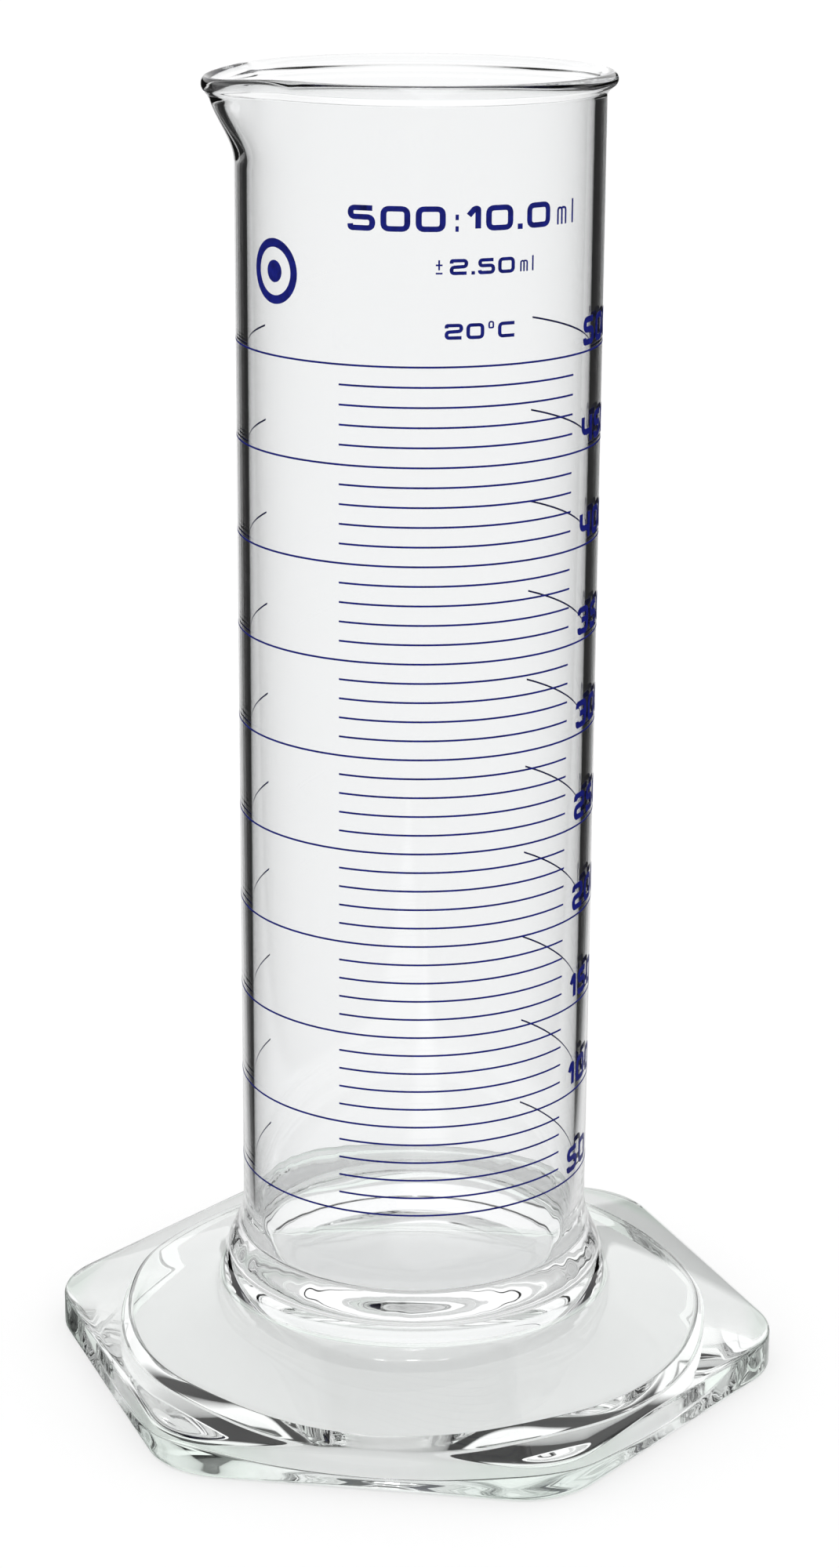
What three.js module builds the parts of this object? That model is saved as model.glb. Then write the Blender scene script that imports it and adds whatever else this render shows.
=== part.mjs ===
// A 500 ml squat-form measuring cylinder in clear borosilicate glass.
//
// Two pieces of glass are fused together: a drawn tube with a closed bottom, a fire-polished bead
// and a pulled spout, and a pressed hexagonal foot with a recess underneath. The scale is fired
// enamel: a ring every 50 ml, a short line every 10 ml between the rings, a numeral above each ring,
// and a label and a plain mark near the top.
//
// Millimetres, +Z up. The origin is on the tube's axis, in the plane that the foot stands on.
// The scale faces -Y and the spout points along -X. An azimuth is counted from -Y towards +X.

import * as THREE from 'three';

// Tube
const TUBE_RADIUS = 32.5;
const BORE_RADIUS = 30.4;
const BORE_FLOOR_Z = 22.75;
const BORE_CORNER_RADIUS = 2.2;
const TOP_Z = 241.7;
const BEAD_RADIUS = 1.35;
const BEAD_CENTRE_RADIUS = 33.05;
const BEAD_NECK_DEPTH = 4.2;

// Fused joint between tube and foot
const JOINT_Z = 19.1;
const JOINT_RADIUS = 35.1;
const JOINT_GAP = 0.02;
const COLLAR_RADIUS = 35.5;
const COLLAR_Z = 20.6;
const COLLAR_TOP_Z = 32;

// Spout
const SPOUT_AZIMUTH = -Math.PI / 2;
const SPOUT_HALF_ANGLE = THREE.MathUtils.degToRad(36);
const SPOUT_START_Z = 225.5;
const SPOUT_REACH = 4.9;
const SPOUT_LIP_SHARE = 0.55;
const SPOUT_DIP = 0.9;

// Foot
const FOOT_HALF_FLATS = 61.75;
const FOOT_CORNER_ROUND = 16;
const FOOT_CORNER_AZIMUTH = THREE.MathUtils.degToRad(9.1);
const FOOT_ROUND_RADIUS = 38.2;
const FOOT_SHOULDER_RADIUS = 41;
const FOOT_SHOULDER_Z = 15.1;
const FOOT_EDGE_Z = 7.6;
const FOOT_EDGE_BEVEL = 1.3;
const FOOT_SOLE_BEVEL = 0.6;
const RECESS_RADIUS = 54;
const RECESS_WALL_HEIGHT = 6;
const RECESS_DEPTH = 15;

// Scale
const CAPACITY_ML = 500;
const RING_STEP_ML = 50;
const LINE_STEP_ML = 10;
const ENAMEL_CLEARANCE = 0.15;
const ENAMEL_THICKNESS = 0.15;
const STROKE_WIDTH = 0.4;
const RING_HALF_ANGLE = THREE.MathUtils.degToRad(124.8);
const LINE_START = THREE.MathUtils.degToRad(-37.2);
const LINE_END = THREE.MathUtils.degToRad(42.5);
const NUMERAL_START = THREE.MathUtils.degToRad(48.3);
const NUMERAL_END = THREE.MathUtils.degToRad(77);
const NUMERAL_HEIGHT = 5;
const NUMERAL_LIFT = 1;
const LABEL_START = THREE.MathUtils.degToRad(-34.5);
const LABEL_END = THREE.MathUtils.degToRad(40.5);
const LABEL_BOTTOM_Z = 199.5;
const LABEL_TOP_Z = 222.4;
const MARK_START = THREE.MathUtils.degToRad(-74);
const MARK_END = THREE.MathUtils.degToRad(-50);
const MARK_BOTTOM_Z = 203;
const MARK_TOP_Z = 216;

const TUBE_SEGMENTS = 60;
const FOOT_SEGMENTS = 96;
const ENAMEL_STEP = THREE.MathUtils.degToRad(10);

const glass = () => new THREE.MeshStandardMaterial({
  color: 0xe9f1ee, roughness: 0.04, metalness: 0, transparent: true, opacity: 0.35,
});
const enamel = () => new THREE.MeshStandardMaterial({ color: 0x0a167d, roughness: 0.35, metalness: 0 });

const point = (radius, z) => new THREE.Vector2(radius, z);

// Points along a circular arc in the profile plane, both ends included.
function arc(centre, radius, startAngle, endAngle, steps) {
  return new THREE.Path().absarc(centre.x, centre.y, radius, startAngle, endAngle, endAngle < startAngle)
    .getPoints(steps);
}

// A closed profile turned about +Z. The first profile point is on the axis, and so is the last.
function turned(profile, segments) {
  return new THREE.LatheGeometry(profile, segments).rotateX(Math.PI / 2);
}

// Moves every vertex of a turned solid in its own radial plane. The shift is given the azimuth,
// the radius, the height and the vertex's place in the profile, and returns the new radius and height.
function reshape(geometry, profileLength, shift) {
  const position = geometry.getAttribute('position');
  for (let i = 0; i < position.count; i += 1) {
    const azimuth = Math.atan2(position.getX(i), -position.getY(i));
    const radius = Math.hypot(position.getX(i), position.getY(i));
    const [newRadius, newZ] = shift(azimuth, radius, position.getZ(i), i % profileLength);
    position.setXYZ(i, newRadius * Math.sin(azimuth), -newRadius * Math.cos(azimuth), newZ);
  }
  geometry.computeVertexNormals();
  return geometry;
}

// How far round from the spout a place is, as 1 at its centre line and 0 beyond its flanks.
function spoutFlank(azimuth) {
  const away = Math.abs(Math.atan2(Math.sin(azimuth - SPOUT_AZIMUTH), Math.cos(azimuth - SPOUT_AZIMUTH)));
  return away < SPOUT_HALF_ANGLE ? 0.5 + 0.5 * Math.cos(Math.PI * away / SPOUT_HALF_ANGLE) : 0;
}

// The tube: closed bottom with the fused collar, straight wall, neck and bead, then down the bore.
function tubeProfile() {
  const beadCentre = point(BEAD_CENTRE_RADIUS, TOP_Z - BEAD_RADIUS);
  const neckZ = TOP_Z - BEAD_NECK_DEPTH;
  const collarDrop = COLLAR_TOP_Z - COLLAR_Z;
  const collarFlare = new THREE.CubicBezierCurve(
    point(COLLAR_RADIUS, COLLAR_Z), point(COLLAR_RADIUS - 0.3, COLLAR_Z + 0.3 * collarDrop),
    point(TUBE_RADIUS, COLLAR_TOP_Z - 0.55 * collarDrop), point(TUBE_RADIUS, COLLAR_TOP_Z),
  ).getPoints(4);
  const boreCorner = point(BORE_RADIUS - BORE_CORNER_RADIUS, BORE_FLOOR_Z + BORE_CORNER_RADIUS);
  return [
    point(0, JOINT_Z + JOINT_GAP),
    point(JOINT_RADIUS, JOINT_Z + JOINT_GAP),
    ...collarFlare,
    point(TUBE_RADIUS, SPOUT_START_Z),
    point(TUBE_RADIUS, THREE.MathUtils.lerp(SPOUT_START_Z, neckZ, 0.35)),
    point(TUBE_RADIUS, THREE.MathUtils.lerp(SPOUT_START_Z, neckZ, 0.7)),
    point(TUBE_RADIUS, neckZ),
    ...arc(beadCentre, BEAD_RADIUS, -0.3 * Math.PI, 0.9 * Math.PI, 5),
    point(BORE_RADIUS, neckZ),
    point(BORE_RADIUS, THREE.MathUtils.lerp(SPOUT_START_Z, neckZ, 0.7)),
    point(BORE_RADIUS, THREE.MathUtils.lerp(SPOUT_START_Z, neckZ, 0.35)),
    point(BORE_RADIUS, SPOUT_START_Z),
    ...arc(boreCorner, BORE_CORNER_RADIUS, 0, -Math.PI / 2, 3),
    point(0, BORE_FLOOR_Z),
  ];
}

// The spout pulls the wall out and down a little, and its bead overhangs the wall less than elsewhere.
function cylinderBody() {
  const profile = tubeProfile();
  const geometry = turned(profile, TUBE_SEGMENTS);
  return reshape(geometry, profile.length, (azimuth, radius, z) => {
    const rise = THREE.MathUtils.smoothstep(z, SPOUT_START_Z, TOP_Z - BEAD_RADIUS);
    const pull = spoutFlank(azimuth) * rise;
    const overhang = Math.max(radius - TUBE_RADIUS, 0);
    return [radius + SPOUT_REACH * pull - (1 - SPOUT_LIP_SHARE) * overhang * pull, z - SPOUT_DIP * pull];
  });
}

// The radius of the rounded hexagon at an azimuth, over the radius at the middle of its flats.
// One corner is at azimuth 0.
function hexagonRatio(azimuth) {
  const side = Math.PI / 3;
  const fromCorner = Math.abs(azimuth - side * Math.round(azimuth / side));
  const roundCentre = (FOOT_HALF_FLATS - FOOT_CORNER_ROUND) / Math.cos(side / 2);
  const roundAngle = side / 2 - Math.atan2(roundCentre * Math.sin(side / 2), FOOT_HALF_FLATS);
  if (fromCorner > roundAngle) return 1 / Math.cos(side / 2 - fromCorner);
  const across = roundCentre * Math.sin(fromCorner);
  return (roundCentre * Math.cos(fromCorner) + Math.sqrt(FOOT_CORNER_ROUND ** 2 - across ** 2)) / FOOT_HALF_FLATS;
}

// The foot: the domed recess, the sole, the edge, a sloping top and the boss that carries the tube.
function footProfile() {
  const shoulder = point(FOOT_SHOULDER_RADIUS, FOOT_SHOULDER_Z);
  const brow = point(FOOT_HALF_FLATS - FOOT_EDGE_BEVEL, FOOT_EDGE_Z);
  const dome = new THREE.CubicBezierCurve(
    point(0, RECESS_DEPTH), point(0.35 * RECESS_RADIUS, RECESS_DEPTH),
    point(RECESS_RADIUS - 14, RECESS_WALL_HEIGHT + 4), point(RECESS_RADIUS - 0.1, RECESS_WALL_HEIGHT),
  ).getPoints(5);
  const downhill = brow.clone().sub(shoulder).normalize();
  const flare = new THREE.CubicBezierCurve(
    shoulder, shoulder.clone().addScaledVector(downhill, -2),
    point(JOINT_RADIUS + 1.3, JOINT_Z - 1.4), point(JOINT_RADIUS, JOINT_Z),
  ).getPoints(3);
  return [
    ...dome,
    point(RECESS_RADIUS, 0),
    point(FOOT_HALF_FLATS - FOOT_SOLE_BEVEL, 0),
    point(FOOT_HALF_FLATS, FOOT_SOLE_BEVEL),
    point(FOOT_HALF_FLATS, FOOT_EDGE_Z - FOOT_EDGE_BEVEL),
    brow,
    ...flare,
    point(0, JOINT_Z),
  ];
}

function hexagonalFoot() {
  const profile = footProfile();
  const recessRim = profile.findIndex((p) => p.x === RECESS_RADIUS);
  const geometry = turned(profile, FOOT_SEGMENTS);
  return reshape(geometry, profile.length, (azimuth, radius, z, place) => {
    const reach = (radius - FOOT_ROUND_RADIUS) / (FOOT_HALF_FLATS - FOOT_ROUND_RADIUS);
    const share = place > recessRim ? THREE.MathUtils.clamp(reach, 0, 1) : 0;
    return [radius * (1 + share * (hexagonRatio(azimuth) - 1)), z];
  }).rotateZ(FOOT_CORNER_AZIMUTH);
}

// A curved plate of enamel that follows the tube's outside between two azimuths and two heights.
// An arc of a shape is cut into twice as many steps as curveSegments says.
function enamelPlate(startAzimuth, endAzimuth, bottomZ, topZ) {
  const inner = TUBE_RADIUS + ENAMEL_CLEARANCE;
  const outer = inner + ENAMEL_THICKNESS;
  const start = startAzimuth - Math.PI / 2;
  const end = endAzimuth - Math.PI / 2;
  const outline = new THREE.Shape();
  outline.absarc(0, 0, outer, start, end, false);
  outline.absarc(0, 0, inner, end, start, true);
  outline.closePath();
  const geometry = new THREE.ExtrudeGeometry(outline, {
    depth: topZ - bottomZ,
    bevelEnabled: false,
    curveSegments: Math.ceil((end - start) / (2 * ENAMEL_STEP)),
  });
  return geometry.translate(0, 0, bottomZ);
}

// The height of the liquid's surface for a volume, allowing for the rounded corner of the bore.
function fillHeight(millilitres) {
  const boreArea = Math.PI * BORE_RADIUS ** 2;
  const cornerLoss = (1 - Math.PI / 4) * BORE_CORNER_RADIUS ** 2
    * 2 * Math.PI * (BORE_RADIUS - 0.22 * BORE_CORNER_RADIUS);
  return BORE_FLOOR_Z + (millilitres * 1000 + cornerLoss) / boreArea;
}

function addPiece(group, name, geometry, material) {
  const mesh = new THREE.Mesh(geometry, material);
  mesh.name = name;
  group.add(mesh);
}

const millilitreName = (prefix, millilitres) => `${prefix}_${String(millilitres).padStart(3, '0')}_ml`;

function scale() {
  const group = new THREE.Group();
  for (let millilitres = RING_STEP_ML; millilitres <= CAPACITY_ML; millilitres += LINE_STEP_ML) {
    const z = fillHeight(millilitres);
    const isRing = millilitres % RING_STEP_ML === 0;
    const [start, end] = isRing ? [-RING_HALF_ANGLE, RING_HALF_ANGLE] : [LINE_START, LINE_END];
    const stroke = enamelPlate(start, end, z - STROKE_WIDTH / 2, z + STROKE_WIDTH / 2);
    addPiece(group, millilitreName(isRing ? 'ring' : 'line', millilitres), stroke, enamel());
    if (isRing) {
      const bottomZ = z + NUMERAL_LIFT;
      const numeral = enamelPlate(NUMERAL_START, NUMERAL_END, bottomZ, bottomZ + NUMERAL_HEIGHT);
      addPiece(group, millilitreName('numeral', millilitres), numeral, enamel());
    }
  }
  return group;
}

const measuringCylinder = new THREE.Group();
addPiece(measuringCylinder, 'cylinder_body', cylinderBody(), glass());
addPiece(measuringCylinder, 'hexagonal_foot', hexagonalFoot(), glass());
measuringCylinder.add(scale());
addPiece(
  measuringCylinder, 'calibration_label',
  enamelPlate(LABEL_START, LABEL_END, LABEL_BOTTOM_Z, LABEL_TOP_Z), enamel(),
);
addPiece(
  measuringCylinder, 'ring_mark',
  enamelPlate(MARK_START, MARK_END, MARK_BOTTOM_Z, MARK_TOP_Z), enamel(),
);

export default measuringCylinder;
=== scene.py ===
import math

import bpy
import numpy as np
from mathutils import Matrix, Vector


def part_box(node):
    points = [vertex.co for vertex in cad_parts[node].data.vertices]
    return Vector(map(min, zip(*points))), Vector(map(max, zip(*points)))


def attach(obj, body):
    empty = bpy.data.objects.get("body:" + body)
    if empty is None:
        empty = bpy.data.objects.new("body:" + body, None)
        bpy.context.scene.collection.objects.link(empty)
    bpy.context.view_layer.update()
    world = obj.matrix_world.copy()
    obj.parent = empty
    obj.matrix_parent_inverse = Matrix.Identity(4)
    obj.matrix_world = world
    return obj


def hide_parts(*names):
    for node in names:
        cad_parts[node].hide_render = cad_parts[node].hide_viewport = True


# The looks of a 500 ml glass measuring cylinder: two fused pieces of clear glass and a blue enamel scale.
# Metres, +Z up. The scale faces -Y and the spout points along -X. An azimuth is counted from -Y towards +X.

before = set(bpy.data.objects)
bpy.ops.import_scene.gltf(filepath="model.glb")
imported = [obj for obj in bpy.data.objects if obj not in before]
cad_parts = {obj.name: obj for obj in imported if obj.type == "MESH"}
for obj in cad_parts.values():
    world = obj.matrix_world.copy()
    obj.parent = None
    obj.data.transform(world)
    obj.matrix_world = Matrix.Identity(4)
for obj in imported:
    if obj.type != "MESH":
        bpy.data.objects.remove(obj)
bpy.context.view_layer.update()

MM = 0.001

# The tube, in millimetres, as the CAD makes it
TUBE_RADIUS = 32.5
BORE_RADIUS = 30.4
BORE_FLOOR_Z = 22.75
BORE_CORNER_RADIUS = 2.2
BEAD_RADIUS = 1.35
BEAD_CENTRE_RADIUS = 33.05
BEAD_NECK_DEPTH = 4.2
TOP_Z = 241.7
COLLAR_RADIUS = 35.5
COLLAR_Z = 20.6
COLLAR_TOP_Z = 32.0
JOINT_RADIUS = 35.1
JOINT_Z = 19.1
JOINT_GAP = 0.02

# The spout
SPOUT_AZIMUTH = math.radians(-90)
SPOUT_HALF_ANGLE = math.radians(36)
SPOUT_START_Z = 225.5
SPOUT_REACH = 4.9
SPOUT_LIP_SHARE = 0.55
SPOUT_DIP = 0.9

# The foot
FOOT_HALF_FLATS = 61.6
FOOT_CORNER_ROUND = 16.0
FOOT_CORNER_AZIMUTH = math.radians(9.1)
FOOT_ROUND_RADIUS = 38.2
FOOT_SHOULDER_RADIUS = 41.0
FOOT_SHOULDER_Z = 15.1
FOOT_EDGE_Z = 7.6
FOOT_EDGE_BEVEL = 1.3
FOOT_SOLE_BEVEL = 0.6
RECESS_RADIUS = 54.0
RECESS_WALL_HEIGHT = 6.0
RECESS_LIP = 0.4
RECESS_DEPTH = 15.0

# Enamel
RING_HALF_ANGLE = math.radians(124.8)
LINE_START = math.radians(-37.2)
LINE_END = math.radians(42.5)
LINE_WIDTH = 0.34
ENAMEL_SINK = 0.02
ENAMEL_RISE = 0.03

# Lettering: a digit's size and its strokes, wider than they are high, and the label's baselines
DIGIT_WIDTH = 5.03
DIGIT_HEIGHT = 4.25
DIGIT_GAP = 0.88
DIGIT_STROKE = (1.02, 0.92)
THIN_STROKE = (0.4, 0.38)
CORNER_FILLET = 1.0
NUMERAL_AZIMUTH = math.radians(48.3)
NUMERAL_LIFT = 1.0
NUMERAL_SIZE = 1.18
NUMERAL_WIDTH_RATIO = 0.82
LABEL_LEFT = -19.4
LABEL_LINE_1_Z = 217.75
LABEL_LINE_2_Z = 210.55
LABEL_LINE_3_Z = 199.7
SMALL_SIZE = 0.63
MARK_AZIMUTH = math.radians(-62)
MARK_Z = 209.5
MARK_RADIUS = 5.6
MARK_STROKE = 1.5
LABEL_INDENT_2 = 14.7
LABEL_INDENT_3 = 16.6

# The camera, on the photograph's side of the cylinder
CAMERA_AZIMUTH = math.radians(-12.5)
CAMERA_DISTANCE = 600.86
CAMERA_HEIGHT = 292.87
CAMERA_PITCH = math.radians(16.746)
CAMERA_YAW = math.radians(0.054)
CAMERA_ROLL = math.radians(0.357)
CAMERA_LENS = 78.09

# How far the flame leaves the fused glass uneven, and in which lobes: (count round the tube, share, phase)
FUSED_WAVE = 0.07
FUSED_LOBES = ((6, 0.2, 0.4), (19, 0.2, 2.1), (29, 0.22, 4.4), (41, 0.2, 1.3), (53, 0.18, 5.2))

# Materials: the clear tints, the green tint of the foot's corners, and the enamel's two blues
GLASS_IOR = 1.473
TUBE_TINT = (0.985, 0.99, 0.992)
FOOT_TINT = (0.96, 0.977, 0.968)
FOOT_CORNER_TINT = (0.82, 0.92, 0.85)
ENAMEL_DARK = (0.0015, 0.004, 0.12)
ENAMEL_LIGHT = (0.003, 0.008, 0.19)

# What the glass mirrors: backdrops as (degrees each side of straight behind, highest sine of elevation),
# softboxes as (azimuth, elevation, half angle, strength), and the slopes of the white paper's two edges
BACKDROPS = ((200, 0.36), (60, 2.0))
SOFTBOXES = ((167.5, 78.5, 2.5, 9.0),)
WHITE = 1.12
BACKDROP_WHITE = 1.1
DARK_ROOM = 0.02
CEILING = 0.5
PAPER_RIGHT_SLOPE, PAPER_RIGHT_START = 0.16, 0.08
PAPER_LEFT_SLOPE, PAPER_LEFT_START = 0.28, 0.055

TUBE_STEPS = 360
FOOT_STEPS = 480
JOINT_STEPS = 6


def smoothstep(value, low, high):
    t = np.clip((value - low) / (high - low), 0, 1)
    return t * t * (3 - 2 * t)


# ---------------------------------------------------------------- profiles and turned solids

def bezier(p0, p1, p2, p3, steps):
    """Points along a cubic curve in the profile plane, without the first one."""
    t = np.linspace(0, 1, steps + 1)[1:, None]
    p0, p1, p2, p3 = (np.array(p, float) for p in (p0, p1, p2, p3))
    return (1 - t) ** 3 * p0 + 3 * (1 - t) ** 2 * t * p1 + 3 * (1 - t) * t ** 2 * p2 + t ** 3 * p3


def line(p0, p1, steps):
    t = np.linspace(0, 1, steps + 1)[1:, None]
    return (1 - t) * np.array(p0, float) + t * np.array(p1, float)


def arc(centre, radius, start, end, steps):
    a = np.linspace(start, end, steps + 1)[:, None]
    return np.array(centre, float) + radius * np.hstack([np.cos(a), np.sin(a)])


def chain(start, *stretches):
    """Joins stretches of profile, each of which begins where the one before it ended."""
    return np.vstack([np.array([start], float), *stretches])


def turned(name, profile, steps, shift, joint_places):
    """A closed solid of revolution about +Z with both ends of its profile on the axis.

    shift(azimuth, radius, z, place) returns the new radius and z. joint_places says which profile
    places bound the flat joint face, which gets the second material slot and a sharp rim.
    """
    azimuth = np.arange(steps) * 2 * math.pi / steps
    inner = profile[1:-1]
    count = len(inner)
    az, place = np.meshgrid(azimuth, np.arange(1, count + 1), indexing="ij")
    radius, z = shift(az, inner[place - 1, 0], inner[place - 1, 1], place)
    grid = np.stack([radius * np.sin(az), -radius * np.cos(az), z], -1).reshape(-1, 3)
    poles = np.array([[0, 0, profile[0, 1]], [0, 0, profile[-1, 1]]])
    vertices = np.vstack([grid, poles]) * MM
    first, last = len(grid), len(grid) + 1
    faces, slots = [], []
    for i in range(steps):
        here, there = i * count, (i + 1) % steps * count
        faces.append((first, there, here))
        slots.append(0 in joint_places)
        for j in range(count - 1):
            faces.append((here + j, there + j, there + j + 1, here + j + 1))
            slots.append(j + 1 in joint_places)
        faces.append((here + count - 1, there + count - 1, last))
        slots.append(count in joint_places)
    mesh = bpy.data.meshes.new(name)
    mesh.from_pydata(vertices.tolist(), [], faces)
    mesh.polygons.foreach_set("use_smooth", [True] * len(faces))
    mesh.polygons.foreach_set("material_index", [int(s) for s in slots])
    sharpen_between_slots(mesh)
    mesh.validate()
    return link(name, mesh)


def sharpen_between_slots(mesh):
    """Marks the edges where two material slots meet as sharp, so that each side keeps its own normals."""
    slots_at = {}
    for polygon in mesh.polygons:
        for key in polygon.edge_keys:
            slots_at.setdefault(key, set()).add(polygon.material_index)
    sharp = [len(slots_at[e.key]) > 1 for e in mesh.edges]
    attribute = mesh.attributes.new("sharp_edge", "BOOLEAN", "EDGE")
    attribute.data.foreach_set("value", sharp)


def link(name, mesh):
    piece = bpy.data.objects.new(name, mesh)
    bpy.context.scene.collection.objects.link(piece)
    return piece


# ---------------------------------------------------------------- glass

def tube_profile():
    neck_z = TOP_Z - BEAD_NECK_DEPTH
    bead_centre = (BEAD_CENTRE_RADIUS, TOP_Z - BEAD_RADIUS)
    bead = arc(bead_centre, BEAD_RADIUS, -0.3 * math.pi, 0.9 * math.pi, 28)
    outer_lean = np.array([math.sin(0.3 * math.pi), math.cos(0.3 * math.pi)])
    inner_lean = np.array([-math.sin(0.1 * math.pi), -math.cos(0.1 * math.pi)])
    collar_drop = COLLAR_TOP_Z - COLLAR_Z
    collar = (COLLAR_RADIUS, COLLAR_Z)
    seam = (JOINT_RADIUS, JOINT_Z + JOINT_GAP)
    bore_corner = (BORE_RADIUS - BORE_CORNER_RADIUS, BORE_FLOOR_Z + BORE_CORNER_RADIUS)
    return chain(
        (0, JOINT_Z + JOINT_GAP),
        line((0, JOINT_Z + JOINT_GAP), seam, JOINT_STEPS),
        bezier(seam, (seam[0], seam[1] + 0.6), (collar[0], collar[1] - 0.8), collar, 12),
        bezier(
            collar, (COLLAR_RADIUS, COLLAR_Z + 0.25 * collar_drop),
            (TUBE_RADIUS + 0.1, COLLAR_TOP_Z - 0.6 * collar_drop), (TUBE_RADIUS, COLLAR_TOP_Z), 28,
        ),
        line((TUBE_RADIUS, COLLAR_TOP_Z), (TUBE_RADIUS, SPOUT_START_Z), 24),
        line((TUBE_RADIUS, SPOUT_START_Z), (TUBE_RADIUS, neck_z), 20),
        bezier((TUBE_RADIUS, neck_z), (TUBE_RADIUS, neck_z + 0.9), bead[0] - 0.6 * outer_lean, bead[0], 8),
        bead[1:],
        bezier(
            bead[-1], bead[-1] + 1.2 * inner_lean,
            (BORE_RADIUS, neck_z + 1.2), (BORE_RADIUS, neck_z), 8,
        ),
        line((BORE_RADIUS, neck_z), (BORE_RADIUS, SPOUT_START_Z), 20),
        line((BORE_RADIUS, SPOUT_START_Z), (BORE_RADIUS, bore_corner[1]), 24),
        arc(bore_corner, BORE_CORNER_RADIUS, 0, -math.pi / 2, 16)[1:],
        line((bore_corner[0], BORE_FLOOR_Z), (0, BORE_FLOOR_Z), 6),
    )


def fused_waves(azimuth):
    """Uneven lobes round the glass, from -1 to 1, as the flame leaves them."""
    total = 0
    for lobes, share, phase in FUSED_LOBES:
        total = total + share * np.sin(lobes * azimuth + phase)
    return total


def tube_shift(azimuth, radius, z, place):
    """The spout's pull near the top and the fused glass's unevenness near the bottom."""
    near_joint = smoothstep(z, JOINT_Z + 0.2, BORE_FLOOR_Z) * (1 - smoothstep(z, 25, COLLAR_TOP_Z))
    outside = radius > BORE_RADIUS + 0.5
    waves = fused_waves(azimuth) * np.where(outside, 1.0, -0.8)
    radius = radius + FUSED_WAVE * near_joint * waves * smoothstep(radius, 20, 28)
    return spout_shift(azimuth, radius, z)


def spout_shift(azimuth, radius, z):
    """Pulls the wall out and down at the spout, where the bead overhangs the wall less than elsewhere."""
    away = np.abs(np.arctan2(np.sin(azimuth - SPOUT_AZIMUTH), np.cos(azimuth - SPOUT_AZIMUTH)))
    flank = np.where(away < SPOUT_HALF_ANGLE, 0.5 + 0.5 * np.cos(math.pi * away / SPOUT_HALF_ANGLE), 0)
    pull = flank * smoothstep(z, SPOUT_START_Z, TOP_Z - BEAD_RADIUS)
    overhang = np.maximum(radius - TUBE_RADIUS, 0)
    return radius + SPOUT_REACH * pull - (1 - SPOUT_LIP_SHARE) * overhang * pull, z - SPOUT_DIP * pull


def hexagon_ratio(azimuth):
    """The rounded hexagon's radius over its radius at the middle of a flat."""
    side = math.pi / 3
    turn = azimuth - FOOT_CORNER_AZIMUTH
    from_corner = np.abs(turn - side * np.round(turn / side))
    centre = (FOOT_HALF_FLATS - FOOT_CORNER_ROUND) / math.cos(side / 2)
    round_angle = side / 2 - math.atan2(centre * math.sin(side / 2), FOOT_HALF_FLATS)
    across = np.minimum(centre * np.sin(from_corner), FOOT_CORNER_ROUND)
    rounded = centre * np.cos(from_corner) + np.sqrt(FOOT_CORNER_ROUND ** 2 - across ** 2)
    rounded = rounded / FOOT_HALF_FLATS
    return np.where(from_corner > round_angle, 1 / np.cos(side / 2 - from_corner), rounded)


def foot_profile():
    """The recess, the sole, the edge, the sloping top and the seam, from the axis out and back."""
    brow = np.array([FOOT_HALF_FLATS - FOOT_EDGE_BEVEL, FOOT_EDGE_Z])
    shoulder = np.array([FOOT_SHOULDER_RADIUS, FOOT_SHOULDER_Z])
    downhill = (brow - shoulder) / np.linalg.norm(brow - shoulder)
    wall_top = (RECESS_RADIUS - 0.1, RECESS_WALL_HEIGHT)
    sole_edge = FOOT_HALF_FLATS - FOOT_SOLE_BEVEL
    return chain(
        (0, RECESS_DEPTH),
        bezier(
            (0, RECESS_DEPTH), (0.35 * RECESS_RADIUS, RECESS_DEPTH),
            (RECESS_RADIUS - 14, RECESS_WALL_HEIGHT + 4), wall_top, 48,
        ),
        line(wall_top, (RECESS_RADIUS, RECESS_LIP), 10),
        bezier(
            (RECESS_RADIUS, RECESS_LIP), (RECESS_RADIUS, 0.4 * RECESS_LIP),
            (RECESS_RADIUS + 0.6 * RECESS_LIP, 0), (RECESS_RADIUS + RECESS_LIP, 0), 8,
        ),
        line((RECESS_RADIUS + RECESS_LIP, 0), (sole_edge, 0), 4),
        bezier(
            (sole_edge, 0), (sole_edge + 0.33, 0),
            (FOOT_HALF_FLATS, FOOT_SOLE_BEVEL - 0.33), (FOOT_HALF_FLATS, FOOT_SOLE_BEVEL), 6,
        ),
        line((FOOT_HALF_FLATS, FOOT_SOLE_BEVEL), (FOOT_HALF_FLATS, FOOT_EDGE_Z - FOOT_EDGE_BEVEL), 8),
        bezier(
            (FOOT_HALF_FLATS, FOOT_EDGE_Z - FOOT_EDGE_BEVEL), (FOOT_HALF_FLATS, FOOT_EDGE_Z - 0.5),
            brow + 0.6 * downhill, brow, 10,
        ),
        line(brow, shoulder, 36),
        bezier(
            shoulder, shoulder - 3.6 * downhill,
            (JOINT_RADIUS + 0.9, JOINT_Z - 1.8), (JOINT_RADIUS, JOINT_Z), 24,
        ),
        line((JOINT_RADIUS, JOINT_Z), (0, JOINT_Z), JOINT_STEPS),
    )


def foot_shift_for(profile):
    recess_rim = int(np.argmax(profile[:, 0] > RECESS_RADIUS + 0.9 * RECESS_LIP))

    def shift(azimuth, radius, z, place):
        reach = np.clip((radius - FOOT_ROUND_RADIUS) / (FOOT_HALF_FLATS - FOOT_ROUND_RADIUS), 0, 1)
        share = np.where(place > recess_rim, reach, 0)
        return radius * (1 + share * (hexagon_ratio(azimuth) - 1)), z

    return shift


# ---------------------------------------------------------------- enamel

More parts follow.
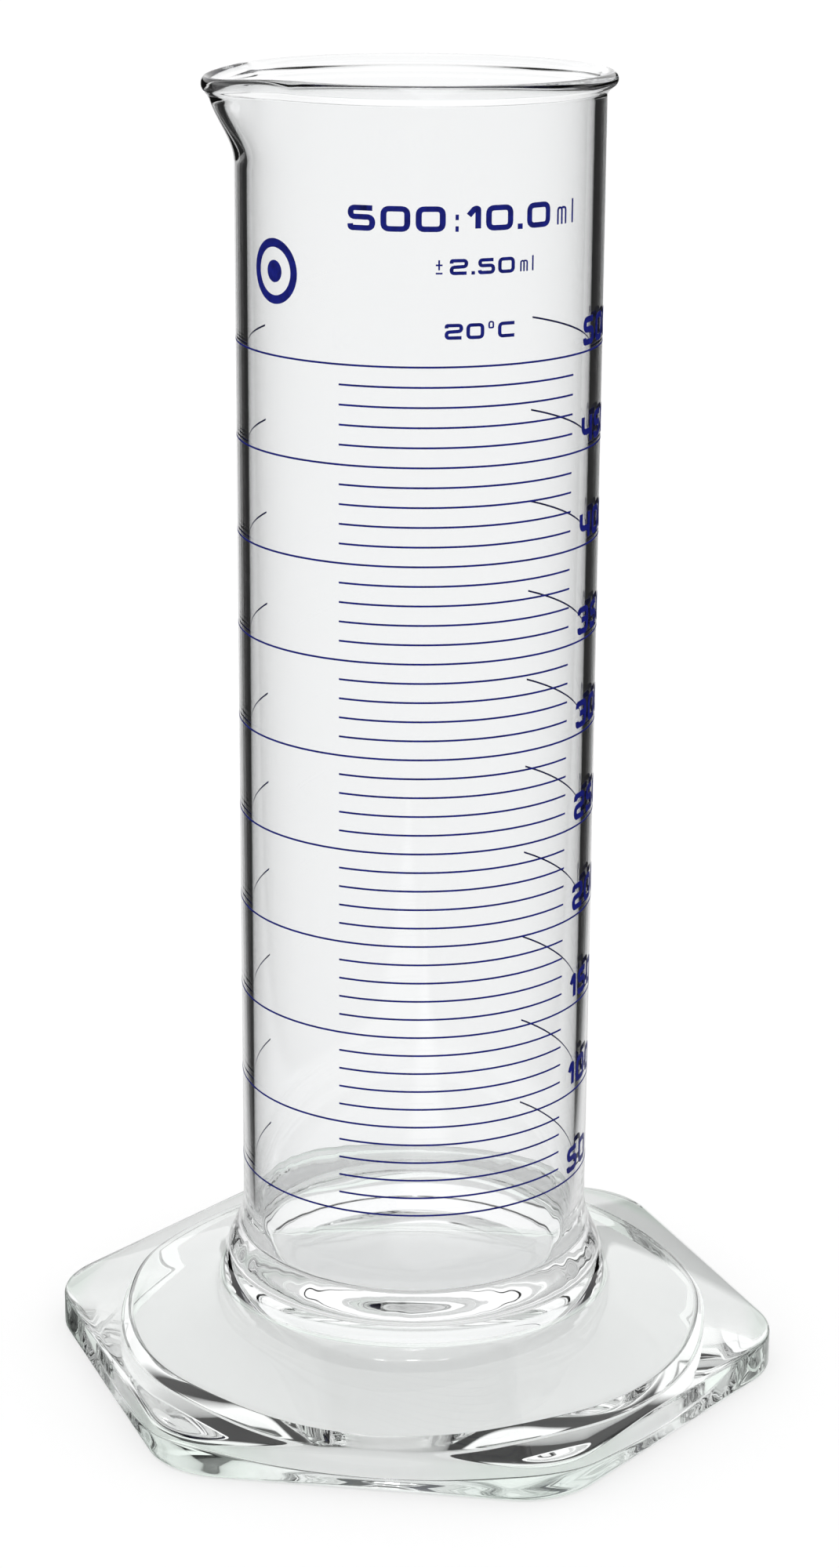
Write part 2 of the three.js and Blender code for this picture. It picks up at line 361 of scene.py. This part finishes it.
# Stroke paths on a unit cell, with the cell's width over a digit's and whether the pen is the thin one.
# A path that ends where it starts is a closed one. "+" draws a plus-minus sign and "o" a degree sign.
GLYPHS = {
    "0": (1.0, False, [[(0.5, 0), (1, 0), (1, 1), (0, 1), (0, 0), (0.5, 0)]]),
    "1": (0.3, False, [[(-0.35, 0.66), (0.5, 1), (1, 1), (1, 0)]]),
    "2": (1.0, False, [[(0, 0.78), (0, 1), (1, 1), (1, 0.53), (0, 0.47), (0, 0), (1.02, 0)]]),
    "3": (1.0, False, [[(0, 0.8), (0, 1), (1, 1), (1, 0), (0, 0), (0, 0.2)], [(0.3, 0.52), (0.98, 0.52)]]),
    "4": (1.0, False, [[(0, 1.05), (0, 0.36), (1, 0.36)], [(0.96, 1.05), (0.96, -0.1)]]),
    "5": (0.95, False, [[(1, 1), (0, 1), (0, 0.55), (1, 0.55), (1, 0), (0, 0), (-0.02, 0.2)]]),
    "C": (1.05, False, [[(1.06, 1), (0, 1), (0, 0), (1.06, 0)]]),
    ".": (0.0, False, [[(-0.12, 0), (0.12, 0)]]),
    ":": (0.0, False, [[(-0.07, 0), (0.07, 0)], [(-0.07, 0.58), (0.07, 0.58)]]),
    "m": (0.5, True, [
        [(0, -0.1), (0, 0.74), (0.5, 0.74), (0.5, -0.1)], [(0.5, 0.74), (1, 0.74), (1, -0.1)],
    ]),
    "l": (0.0, True, [[(0, -0.1), (0, 1.12)]]),
    "+": (0.45, True, [[(0, 0.66), (1, 0.66)], [(0.5, 1.06), (0.5, 0.26)], [(0, 0), (1, 0)]]),
    "o": (0.3, True, [[(0.5, 0.72), (1, 0.72), (1, 1.2), (0, 1.2), (0, 0.72), (0.5, 0.72)]]),
}


def filleted(path, fillet):
    """The path with each inner corner rounded."""
    points = [np.array(p, float) for p in path]
    rounded = [points[0]]
    for before, corner, after in zip(points, points[1:], points[2:]):
        back, on = before - corner, after - corner
        reach = min(fillet, 0.5 * np.linalg.norm(back), 0.5 * np.linalg.norm(on))
        start = corner + reach * back / np.linalg.norm(back)
        end = corner + reach * on / np.linalg.norm(on)
        for t in np.linspace(0, 1, 6):
            rounded.append((1 - t) ** 2 * start + 2 * t * (1 - t) * corner + t ** 2 * end)
    rounded.append(points[-1])
    return np.array(rounded)


def stroke_sides(path, stroke):
    """Both sides of a pen stroke whose upright parts are stroke[0] wide and level parts stroke[1]."""
    ahead = np.gradient(path, axis=0)
    if np.allclose(path[0], path[-1]):
        ahead[0] = ahead[-1] = path[1] - path[-2]
    ahead /= np.linalg.norm(ahead, axis=1, keepdims=True)
    half = np.stack([-ahead[:, 1] * stroke[0] / 2, ahead[:, 0] * stroke[1] / 2], -1)
    return path + half, path - half


def strip_on_tube(vertices, faces, one_side, other_side, rise):
    """Adds a closed strip of enamel between two rows of places (distance round the tube, height)."""
    base = len(vertices)
    for left, right in zip(one_side, other_side):
        for radius, (around, z) in (
            (TUBE_RADIUS - ENAMEL_SINK, left), (TUBE_RADIUS - ENAMEL_SINK, right),
            (TUBE_RADIUS + rise, right), (TUBE_RADIUS + rise, left),
        ):
            azimuth = around / TUBE_RADIUS
            vertices.append((radius * math.sin(azimuth) * MM, -radius * math.cos(azimuth) * MM, z * MM))
    last = base + 4 * (len(one_side) - 1)
    faces.append(tuple(base + k for k in (3, 2, 1, 0)))
    faces.append(tuple(last + k for k in (0, 1, 2, 3)))
    for here in range(base, last, 4):
        for k in range(4):
            after = (k + 1) % 4
            faces.append((here + k, here + after, here + 4 + after, here + 4 + k))


def enamel_piece(name, strips):
    """One piece made of strips, each given as its two sides."""
    vertices, faces = [], []
    for i, (one_side, other_side) in enumerate(strips):
        strip_on_tube(vertices, faces, one_side, other_side, ENAMEL_RISE + 0.002 * (i % 3))
    mesh = bpy.data.meshes.new("enamel_" + name)
    mesh.from_pydata(vertices, [], faces)
    return link("enamel_" + name, mesh)


def scale_line(name, start, end, z):
    """A printed line at one height between two azimuths."""
    steps = max(8, int(math.degrees(end - start) / 1.5))
    around = np.linspace(start, end, steps + 1) * TUBE_RADIUS
    rows = [np.stack([around, np.full_like(around, z + side * LINE_WIDTH / 2)], -1) for side in (1, -1)]
    return enamel_piece(name, [tuple(rows)])


def text_strips(text, left, base, size, width_ratio=1.0):
    """Strips for a line of glyphs that starts at a distance round the tube and stands on a height."""
    strips = []
    stroke = np.array(DIGIT_STROKE) * size
    thin = np.array(THIN_STROKE) * max(size, 0.75)
    cell = np.array([DIGIT_WIDTH * size * width_ratio - stroke[0], DIGIT_HEIGHT * size - stroke[1]])
    cursor = left + stroke[0] / 2
    for character in text:
        if character == " ":
            cursor += 0.6 * DIGIT_GAP * size
            continue
        ratio, is_thin, paths = GLYPHS[character]
        span = ratio * cell[0]
        for path in paths:
            scaled = np.array(path) * (span if span else cell[0], cell[1])
            scaled += (cursor, base + stroke[1] / 2)
            pen = thin if is_thin else stroke
            rounded = filleted(scaled, CORNER_FILLET * size * (0.6 if is_thin else 1.0))
            strips.append(stroke_sides(rounded, pen))
        cursor += span + stroke[0] + DIGIT_GAP * size
    return strips


def disc_strips(around, z, radius, stroke):
    """A ring and a dot at its centre."""
    strips = []
    for centre_line, pen in ((radius - stroke / 2, stroke), (0.17 * radius, 0.34 * radius)):
        turn = np.linspace(0, 2 * math.pi, 49)
        path = np.stack([around + centre_line * np.cos(turn), z + centre_line * np.sin(turn)], -1)
        strips.append(stroke_sides(path, (pen, pen)))
    return strips


# ---------------------------------------------------------------- materials

def new_material(name):
    material = bpy.data.materials.new(name)
    material.use_nodes = True
    nodes = material.node_tree.nodes
    nodes.clear()
    return material, nodes, material.node_tree.links


def add_noise(nodes, links, scale, detail, stretch=(1, 1, 1)):
    """Noise in the part's own coordinates, with scale in features to the metre."""
    place = nodes.new("ShaderNodeTexCoord")
    mapping = nodes.new("ShaderNodeMapping")
    mapping.inputs["Scale"].default_value = stretch
    noise = nodes.new("ShaderNodeTexNoise")
    noise.inputs["Scale"].default_value = scale
    noise.inputs["Detail"].default_value = detail
    links.new(place.outputs["Object"], mapping.inputs["Vector"])
    links.new(mapping.outputs["Vector"], noise.inputs["Vector"])
    return noise.outputs["Fac"]


def map_range(nodes, links, value, low, high, to_low, to_high):
    ramp = nodes.new("ShaderNodeMapRange")
    ramp.inputs["From Min"].default_value = low
    ramp.inputs["From Max"].default_value = high
    ramp.inputs["To Min"].default_value = to_low
    ramp.inputs["To Max"].default_value = to_high
    links.new(value, ramp.inputs["Value"])
    return ramp.outputs["Result"]


def outer_side(nodes, links):
    """One on the sides of the foot's corners, where the glass is thickest, and nought elsewhere."""
    place = nodes.new("ShaderNodeTexCoord").outputs["Object"]
    flat = nodes.new("ShaderNodeVectorMath")
    flat.operation = "MULTIPLY"
    flat.inputs[1].default_value = (1, 1, 0)
    links.new(place, flat.inputs[0])
    length = nodes.new("ShaderNodeVectorMath")
    length.operation = "LENGTH"
    links.new(flat.outputs["Vector"], length.inputs[0])
    split = nodes.new("ShaderNodeSeparateXYZ")
    links.new(place, split.inputs[0])
    far = map_range(nodes, links, length.outputs["Value"], 0.0622, 0.0655, 0, 1)
    low = map_range(nodes, links, split.outputs["Z"], 0.0066, 0.0074, 1, 0)
    return math_node(nodes, links, "MULTIPLY", far, low)


def glass_material(name, tint, corner_tint, ripple_scale, ripple_stretch, ripple_height):
    """Clear glass with faint smudges and ripples, and a stronger tint where outer_side says."""
    material, nodes, links = new_material(name)
    out = nodes.new("ShaderNodeOutputMaterial")
    glass = nodes.new("ShaderNodeBsdfPrincipled")
    thick = nodes.new("ShaderNodeMix")
    thick.data_type = "RGBA"
    thick.inputs["A"].default_value = (*tint, 1)
    thick.inputs["B"].default_value = (*corner_tint, 1)
    links.new(outer_side(nodes, links), thick.inputs["Factor"])
    links.new(thick.outputs["Result"], glass.inputs["Base Color"])
    glass.inputs["Transmission Weight"].default_value = 1.0
    glass.inputs["IOR"].default_value = GLASS_IOR
    smudge = add_noise(nodes, links, 60, 3)
    links.new(map_range(nodes, links, smudge, 0.5, 0.8, 0.0, 0.012), glass.inputs["Roughness"])
    bump = nodes.new("ShaderNodeBump")
    bump.inputs["Distance"].default_value = ripple_height
    bump.inputs["Strength"].default_value = 1.0
    links.new(add_noise(nodes, links, ripple_scale, 1, ripple_stretch), bump.inputs["Height"])
    links.new(bump.outputs["Normal"], glass.inputs["Normal"])
    links.new(glass.outputs["BSDF"], out.inputs["Surface"])
    return material


def joint_material():
    """The fused joint: glass meets glass, so light goes straight on."""
    material, nodes, links = new_material("fused_joint")
    out = nodes.new("ShaderNodeOutputMaterial")
    clear = nodes.new("ShaderNodeBsdfTransparent")
    links.new(clear.outputs["BSDF"], out.inputs["Surface"])
    return material


def enamel_material():
    material, nodes, links = new_material("blue_enamel")
    out = nodes.new("ShaderNodeOutputMaterial")
    enamel = nodes.new("ShaderNodeBsdfPrincipled")
    enamel.inputs["Specular IOR Level"].default_value = 0.2
    mix = nodes.new("ShaderNodeMix")
    mix.data_type = "RGBA"
    mix.inputs["A"].default_value = (*ENAMEL_DARK, 1)
    mix.inputs["B"].default_value = (*ENAMEL_LIGHT, 1)
    blotches = add_noise(nodes, links, 900, 3)
    links.new(map_range(nodes, links, blotches, 0.35, 0.65, 0, 1), mix.inputs["Factor"])
    links.new(mix.outputs["Result"], enamel.inputs["Base Color"])
    grain = add_noise(nodes, links, 2500, 2)
    links.new(map_range(nodes, links, grain, 0.3, 0.7, 0.28, 0.45), enamel.inputs["Roughness"])
    bump = nodes.new("ShaderNodeBump")
    bump.inputs["Distance"].default_value = 0.00001
    links.new(add_noise(nodes, links, 4000, 2), bump.inputs["Height"])
    links.new(bump.outputs["Normal"], enamel.inputs["Normal"])
    links.new(enamel.outputs["BSDF"], out.inputs["Surface"])
    return material


# ---------------------------------------------------------------- the object

def make_glass():
    joint = joint_material()
    tube_glass = glass_material("drawn_glass", TUBE_TINT, TUBE_TINT, 14, (6, 6, 0.5), 0.00001)
    foot_glass = glass_material("pressed_glass", FOOT_TINT, FOOT_CORNER_TINT, 45, (1, 1, 1), 0.00003)
    profile = tube_profile()
    body = turned("glass_tube", profile, TUBE_STEPS, tube_shift, range(JOINT_STEPS))
    foot_outline = foot_profile()
    joint_start = len(foot_outline) - JOINT_STEPS - 1
    foot = turned(
        "glass_foot", foot_outline, FOOT_STEPS, foot_shift_for(foot_outline),
        range(joint_start, len(foot_outline)),
    )
    for piece, node, glass in ((body, "cylinder_body", tube_glass), (foot, "hexagonal_foot", foot_glass)):
        piece.data.materials.append(glass)
        piece.data.materials.append(joint)
        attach(piece, "root")
        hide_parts(node)


def node_height(node):
    low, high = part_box(node)
    return (low.z + high.z) / 2 / MM


def make_numeral(node):
    ring_z = node_height(node.replace("numeral", "ring"))
    text = str(int(node.split("_")[1]))
    left = NUMERAL_AZIMUTH * TUBE_RADIUS
    return enamel_piece(
        node, text_strips(text, left, ring_z + NUMERAL_LIFT, NUMERAL_SIZE, NUMERAL_WIDTH_RATIO),
    )


def make_label():
    strips = text_strips("500 : 10.0 ml", LABEL_LEFT, LABEL_LINE_1_Z, 1.0)
    strips += text_strips("+ 2.50 ml", LABEL_LEFT + LABEL_INDENT_2, LABEL_LINE_2_Z, SMALL_SIZE)
    strips += text_strips("20oC", LABEL_LEFT + LABEL_INDENT_3, LABEL_LINE_3_Z, SMALL_SIZE)
    return enamel_piece("calibration_label", strips)


def make_scale():
    """Every printed ring, line and numeral, the calibration label and the plain ring mark."""
    enamel = enamel_material()
    for node in sorted(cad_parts):
        kind = node.split("_")[0]
        if node == "ring_mark":
            around = MARK_AZIMUTH * TUBE_RADIUS
            piece = enamel_piece(node, disc_strips(around, MARK_Z, MARK_RADIUS, MARK_STROKE))
        elif kind == "ring":
            piece = scale_line(node, -RING_HALF_ANGLE, RING_HALF_ANGLE, node_height(node))
        elif kind == "line":
            piece = scale_line(node, LINE_START, LINE_END, node_height(node))
        elif kind == "numeral":
            piece = make_numeral(node)
        elif kind == "calibration":
            piece = make_label()
        else:
            continue
        piece.data.materials.append(enamel)
        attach(piece, "root")
        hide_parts(node)


# ---------------------------------------------------------------- studio

def math_node(nodes, links, operation, *values):
    """A maths node fed with sockets or plain numbers."""
    node = nodes.new("ShaderNodeMath")
    node.operation = operation
    for socket, value in zip(node.inputs, values):
        if isinstance(value, (int, float)):
            socket.default_value = value
        else:
            links.new(value, socket)
    return node.outputs[0]


def across_and_along(nodes, links, place):
    """A place or direction measured across and along the photograph's line of sight."""
    parts = []
    for towards in (
        (math.cos(CAMERA_AZIMUTH), math.sin(CAMERA_AZIMUTH), 0),
        (-math.sin(CAMERA_AZIMUTH), math.cos(CAMERA_AZIMUTH), 0),
    ):
        dot = nodes.new("ShaderNodeVectorMath")
        dot.operation = "DOT_PRODUCT"
        dot.inputs[1].default_value = towards
        links.new(place, dot.inputs[0])
        parts.append(dot.outputs["Value"])
    return parts


def mirrored(nodes, links):
    """One for light that the glass has mirrored on its way, nought for light seen straight or only bent."""
    path = nodes.new("ShaderNodeLightPath")
    return math_node(nodes, links, "GREATER_THAN", path.outputs["Glossy Depth"], 0.5)


def inside_paper(nodes, links, across, along, right_start, left_start):
    """How far inside the white paper's two edges a place is, or for starts of nought, a direction."""
    right_edge = math_node(nodes, links, "MULTIPLY_ADD", along, PAPER_RIGHT_SLOPE, right_start)
    left_edge = math_node(nodes, links, "MULTIPLY_ADD", along, PAPER_LEFT_SLOPE, left_start)
    right = math_node(nodes, links, "SUBTRACT", right_edge, across)
    left = math_node(nodes, links, "ADD", left_edge, across)
    return math_node(nodes, links, "MINIMUM", right, left)


def make_floor():
    """A pale table that glows a little, so that thick glass standing on it keeps clear."""
    half = 20.0
    low = -0.00015
    mesh = bpy.data.meshes.new("floor")
    mesh.from_pydata(
        [(-half, -half, low), (half, -half, low), (half, half, low), (-half, half, low)],
        [], [(0, 1, 2, 3)],
    )
    floor = link("floor", mesh)
    material, nodes, links = new_material("pale_floor")
    place = nodes.new("ShaderNodeTexCoord").outputs["Object"]
    across, along = across_and_along(nodes, links, place)
    inside = inside_paper(nodes, links, across, along, PAPER_RIGHT_START, PAPER_LEFT_START)
    paper = map_range(nodes, links, inside, -0.01, 0.01, 0.03, 1.0)
    seen = nodes.new("ShaderNodeMix")
    seen.data_type = "FLOAT"
    links.new(mirrored(nodes, links), seen.inputs["Factor"])
    seen.inputs["A"].default_value = 1.0
    links.new(paper, seen.inputs["B"])
    glow = nodes.new("ShaderNodeEmission")
    links.new(math_node(nodes, links, "MULTIPLY", seen.outputs["Result"], 0.5), glow.inputs["Strength"])
    paint = nodes.new("ShaderNodeBsdfDiffuse")
    tone = nodes.new("ShaderNodeCombineColor")
    shade = math_node(nodes, links, "MULTIPLY", seen.outputs["Result"], 0.5)
    for socket in tone.inputs:
        links.new(shade, socket)
    links.new(tone.outputs["Color"], paint.inputs["Color"])
    both = nodes.new("ShaderNodeAddShader")
    links.new(glow.outputs[0], both.inputs[0])
    links.new(paint.outputs[0], both.inputs[1])
    out = nodes.new("ShaderNodeOutputMaterial")
    links.new(both.outputs[0], out.inputs["Surface"])
    mesh.materials.append(material)


def make_world():
    """White all round for what is seen straight or through the glass.

    What the glass mirrors is a dark room with a white backdrop behind the part and softboxes round it.
    """
    world = bpy.data.worlds.new("studio")
    bpy.context.scene.world = world
    world.use_nodes = True
    nodes, links = world.node_tree.nodes, world.node_tree.links
    nodes.clear()
    direction = nodes.new("ShaderNodeTexCoord").outputs["Generated"]
    across, along = across_and_along(nodes, links, direction)
    bearing = math_node(nodes, links, "ABSOLUTE", math_node(nodes, links, "ARCTAN2", across, along))
    split = nodes.new("ShaderNodeSeparateXYZ")
    links.new(direction, split.inputs[0])
    height = split.outputs["Z"]
    total = map_range(nodes, links, height, 0.92, 0.97, DARK_ROOM, CEILING)
    above_table = map_range(nodes, links, height, 0.08, 0.12, 0, 1)
    paper = map_range(nodes, links, inside_paper(nodes, links, across, along, 0, 0), -0.02, 0.02, 0, 1)
    open_to = math_node(nodes, links, "MAXIMUM", above_table, paper)
    for widest, highest in BACKDROPS:
        full_to, gone_by = math.radians(widest - 8), math.radians(widest + 8)
        wide = map_range(nodes, links, bearing, full_to, gone_by, BACKDROP_WHITE, 0)
        low = map_range(nodes, links, height, highest - 0.05, highest + 0.05, 1, 0)
        backdrop = math_node(nodes, links, "MULTIPLY", wide, low)
        backdrop = math_node(nodes, links, "MULTIPLY", backdrop, open_to)
        total = math_node(nodes, links, "MAXIMUM", total, backdrop)
    for azimuth, elevation, half_angle, strength in SOFTBOXES:
        a, e = math.radians(azimuth), math.radians(elevation)
        dot = nodes.new("ShaderNodeVectorMath")
        dot.operation = "DOT_PRODUCT"
        dot.inputs[1].default_value = (math.sin(a) * math.cos(e), -math.cos(a) * math.cos(e), math.sin(e))
        links.new(direction, dot.inputs[0])
        edge = math.cos(math.radians(half_angle))
        lamp = map_range(nodes, links, dot.outputs["Value"], edge - 0.0005, edge + 0.0005, 0, strength)
        total = math_node(nodes, links, "ADD", total, lamp)
    room = nodes.new("ShaderNodeBackground")
    links.new(total, room.inputs["Strength"])
    bright = nodes.new("ShaderNodeBackground")
    bright.inputs["Strength"].default_value = WHITE
    mix = nodes.new("ShaderNodeMixShader")
    links.new(mirrored(nodes, links), mix.inputs["Fac"])
    links.new(bright.outputs[0], mix.inputs[1])
    links.new(room.outputs[0], mix.inputs[2])
    for shader in (bright, room):
        shader.inputs["Color"].default_value = (1, 1, 1, 1)
    out = nodes.new("ShaderNodeOutputWorld")
    links.new(mix.outputs[0], out.inputs["Surface"])


def make_camera():
    data = bpy.data.cameras.new("camera")
    data.lens = CAMERA_LENS
    data.sensor_width = 36.0
    data.clip_start, data.clip_end = 0.01, 100.0
    camera = bpy.data.objects.new("camera", data)
    bpy.context.scene.collection.objects.link(camera)
    place = Vector((
        CAMERA_DISTANCE * math.sin(CAMERA_AZIMUTH),
        -CAMERA_DISTANCE * math.cos(CAMERA_AZIMUTH),
        CAMERA_HEIGHT,
    )) * MM
    turn = (
        Matrix.Rotation(CAMERA_AZIMUTH - CAMERA_YAW, 4, "Z")
        @ Matrix.Rotation(math.pi / 2 - CAMERA_PITCH, 4, "X")
        @ Matrix.Rotation(CAMERA_ROLL, 4, "Z")
    )
    camera.matrix_world = Matrix.Translation(place) @ turn
    bpy.context.scene.camera = camera


def set_light_paths():
    """Thick glass needs many bounces before a ray gets out of it."""
    scene = bpy.context.scene
    scene.cycles.max_bounces = 32
    scene.cycles.transmission_bounces = 32
    scene.cycles.glossy_bounces = 20
    scene.cycles.transparent_max_bounces = 32
    scene.view_settings.view_transform = "Standard"


make_camera()
set_light_paths()
make_world()
make_floor()
make_glass()
make_scale()

bpy.context.view_layer.update()
